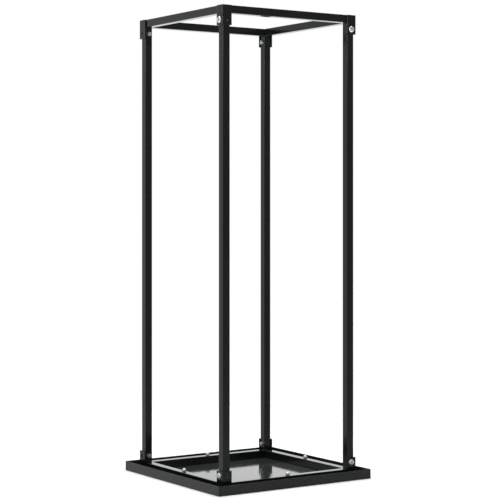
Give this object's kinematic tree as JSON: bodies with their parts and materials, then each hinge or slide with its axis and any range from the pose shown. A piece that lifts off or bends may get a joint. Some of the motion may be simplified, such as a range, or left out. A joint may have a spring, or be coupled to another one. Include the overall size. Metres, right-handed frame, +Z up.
{
  "type": "firewood log rack",
  "caption": "Tall open square tower of black square tube on a low sheet-steel tray, for standing a stack of firewood logs in, bolted together through corner angle brackets.",
  "frame": {"origin": "on the floor, under the middle of the tray", "axes": "+Z up; +X towards the right-hand back side and +Y towards the left-hand back side, with the front corner at -X -Y"},
  "size_m": [0.464, 0.464, 1.195],
  "materials": {
    "frame_paint": "satin black paint",
    "tray_paint": "black powder coat, finely textured outside and glossy on the floor",
    "zinc": "bright zinc plate"
  },
  "bodies": {
    "root": {"base_tray": "tray_paint", "post_front": "frame_paint", "post_right": "frame_paint", "post_back": "frame_paint", "post_left": "frame_paint", "upper_ring_front_right": "frame_paint", "upper_ring_back_right": "frame_paint", "upper_ring_back_left": "frame_paint", "upper_ring_front_left": "frame_paint", "lower_ring_front_right": "frame_paint", "lower_ring_back_right": "frame_paint", "lower_ring_back_left": "frame_paint", "lower_ring_front_left": "frame_paint", "upper_bracket_front": "frame_paint", "upper_bracket_right": "frame_paint", "upper_bracket_back": "frame_paint", "upper_bracket_left": "frame_paint", "lower_bracket_front": "frame_paint", "lower_bracket_right": "frame_paint", "lower_bracket_back": "frame_paint", "lower_bracket_left": "frame_paint", "upper_bolt_front": "zinc", "upper_bolt_right": "zinc", "upper_bolt_back": "zinc", "upper_bolt_left": "zinc", "upper_nut_front": "zinc", "upper_nut_right": "zinc", "upper_nut_back": "zinc", "upper_nut_left": "zinc", "lower_bolt_front": "zinc", "lower_bolt_right": "zinc", "lower_bolt_back": "zinc", "lower_bolt_left": "zinc", "lower_nut_front": "zinc", "lower_nut_right": "zinc", "lower_nut_back": "zinc", "lower_nut_left": "zinc", "tray_bolt_front_right": "zinc", "tray_bolt_back_right": "zinc", "tray_bolt_back_left": "zinc", "tray_bolt_front_left": "zinc", "tray_nut_front_right": "zinc", "tray_nut_back_right": "zinc", "tray_nut_back_left": "zinc", "tray_nut_front_left": "zinc"}
  },
  "joints": []
}
